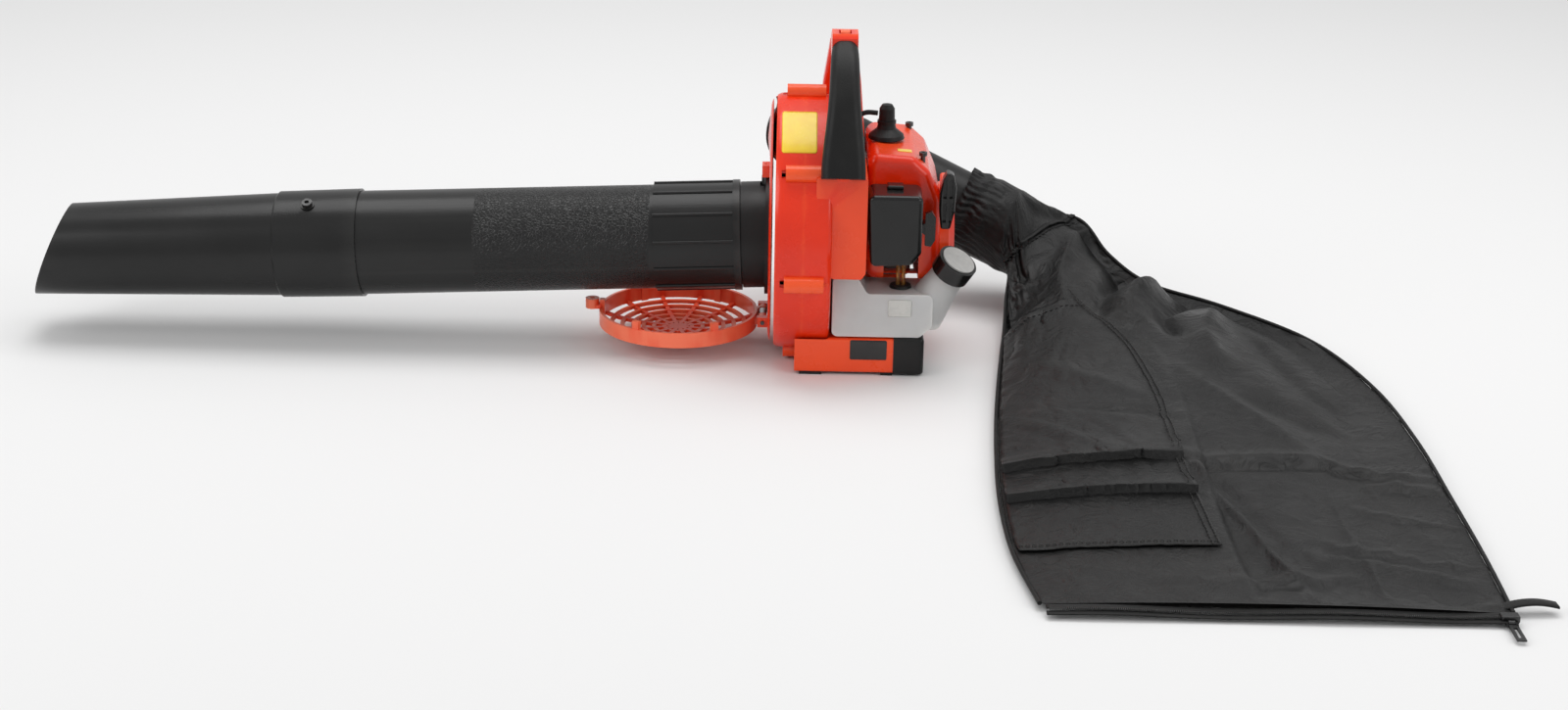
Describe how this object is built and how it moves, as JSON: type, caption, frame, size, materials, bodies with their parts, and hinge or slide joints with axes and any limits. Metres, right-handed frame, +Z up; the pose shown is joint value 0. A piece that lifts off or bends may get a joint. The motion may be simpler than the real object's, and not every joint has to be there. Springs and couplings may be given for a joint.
{
  "type": "leaf blower",
  "caption": "Hand-held petrol leaf blower in vacuum set-up: scroll fan housing, arched handle, long suction tube with slant nozzle, and a zipped cloth collecting bag on a side elbow.",
  "frame": {"origin": "on the underside of the left rubber runner, straight below the fan's axis at floor level", "axes": "+Z up; -X along the suction tube's side; -Y towards the operator; +Y the way the fan blows out"},
  "size_m": [1.3413, 0.8804, 0.3334],
  "materials": {
    "orange_shell": "glossy injection-moulded ABS",
    "guard_red": "satin moulded nylon",
    "black_plastic": "moulded, fine grain",
    "soft_grip": "soft-touch overmould",
    "cap_grey": "embossed grey insert",
    "tank_white": "milky blow-moulded polyethylene",
    "fuel_hose": "clear amber hose",
    "engine_alloy": "die-cast",
    "steel": "machined and zinc-plated steel",
    "filter_foam": "open-cell foam",
    "rope": "braided nylon",
    "bag_cloth": "black woven nylon with a slight sheen",
    "zip_metal": "blackened zinc"
  },
  "bodies": {
    "blower": {"volute_intake_half": "orange_shell", "volute_engine_half": "orange_shell", "handle_frame": "orange_shell", "engine_cover": "orange_shell", "starter_housing": "orange_shell", "base": "orange_shell", "intake_collar": "black_plastic", "vacuum_tube": "black_plastic", "nozzle_tube": "black_plastic", "air_filter_base": "black_plastic", "base_end_cap": "black_plastic", "tank_grommet": "black_plastic", "outlet_elbow": "black_plastic", "grip_left": "soft_grip", "grip_right": "soft_grip", "base_runners": "soft_grip", "spark_plug_boot": "soft_grip", "ignition_lead": "soft_grip", "fuel_tank": "tank_white", "fuel_feed_line": "fuel_hose", "fuel_return_line": "fuel_hose", "crankcase": "engine_alloy", "cylinder": "engine_alloy", "piston": "engine_alloy", "carburettor": "engine_alloy", "intake_manifold": "engine_alloy", "main_bearings": "steel", "connecting_rod": "steel", "wrist_pin": "steel", "volute_screws": "steel", "cover_screws": "steel", "guard_latch_screw": "steel", "guard_hinge_pin": "steel", "guard_spring": "steel", "tube_screw": "steel", "trigger_pin": "steel", "recoil_spring": "steel", "muffler": "steel", "spark_plug": "steel", "ignition_coil": "steel", "air_filter_element": "filter_foam", "collection_bag": "bag_cloth"},
    "rotor": {"impeller": "black_plastic", "impeller_nut": "steel", "crankshaft": "steel", "flywheel": "engine_alloy"},
    "starter_drum": {"starter_pulley": "black_plastic"},
    "starter_pull": {"starter_handle": "black_plastic", "starter_rope": "rope"},
    "stop_rocker": {"stop_switch": "guard_red"},
    "trigger": {"throttle_trigger": "black_plastic"},
    "choke": {"choke_lever": "black_plastic"},
    "primer": {"primer_bulb": "soft_grip"},
    "filler_cap": {"fuel_cap": "black_plastic", "fuel_cap_disc": "cap_grey"},
    "filter_lid": {"air_filter_cover": "black_plastic"},
    "guard": {"intake_guard": "guard_red"},
    "slider": {"zip_slider": "zip_metal"},
    "pull_tab": {"zip_pull": "zip_metal"}
  },
  "joints": [
    {"name": "engine_spin", "type": "hinge", "parent": "blower", "child": "rotor", "pos_m": [0, 0, 0.115], "axis": [1, 0, 0], "continuous": true},
    {"name": "starter_pull", "type": "slide", "parent": "blower", "child": "starter_pull", "axis": [0, -1, 0], "range_m": [0, 0.5], "stiffness_N_per_m": 8, "springref_m": -0.25},
    {"name": "starter_drum_spin", "type": "hinge", "parent": "blower", "child": "starter_drum", "pos_m": [0.131, 0, 0.115], "axis": [1, 0, 0], "range_deg": [0, 1260], "deforming": ["recoil_spring"]},
    {"name": "stop_switch_rock", "type": "hinge", "parent": "blower", "child": "stop_rocker", "pos_m": [0.027, -0.036, 0.3284], "axis": [1, 0, 0], "range_deg": [0, 12]},
    {"name": "throttle_squeeze", "type": "hinge", "parent": "blower", "child": "trigger", "pos_m": [0.027, -0.03, 0.307], "axis": [1, 0, 0], "range_deg": [0, 14], "stiffness_Nm_per_rad": 0.2, "springref_deg": -11.46},
    {"name": "choke_slide", "type": "slide", "parent": "blower", "child": "choke", "axis": [0, 0, 1], "range_m": [0, 0.012]},
    {"name": "primer_press", "type": "slide", "parent": "blower", "child": "primer", "axis": [0, 0, 1], "range_m": [0, 0.006], "stiffness_N_per_m": 300, "springref_m": -0.001, "deforming": ["primer_bulb"]},
    {"name": "fuel_cap_lift", "type": "slide", "parent": "blower", "child": "filler_cap", "axis": [0.4382, -0.3287, 0.8366], "range_m": [0, 0.022]},
    {"name": "filter_cover_off", "type": "slide", "parent": "blower", "child": "filter_lid", "axis": [0, -1, 0], "range_m": [0, 0.06]},
    {"name": "guard_swing", "type": "hinge", "parent": "blower", "child": "guard", "pos_m": [-0.0485, 0, 0.03], "axis": [0, 1, 0], "range_deg": [-5, 3], "stiffness_Nm_per_rad": 0.6, "springref_deg": 4.58},
    {"name": "zip_slide", "type": "slide", "parent": "blower", "child": "slider", "axis": [-1, 0, 0], "range_m": [0, 0.34]},
    {"name": "zip_pull_swing", "type": "hinge", "parent": "slider", "child": "pull_tab", "pos_m": [0.5485, -0.6335, 0.0042], "axis": [-1, 0, 0], "range_deg": [0, 85]}
  ],
  "couplings": [
    {"joint": "starter_drum_spin", "follows": "starter_pull", "rad_per_m": 41.667}
  ]
}
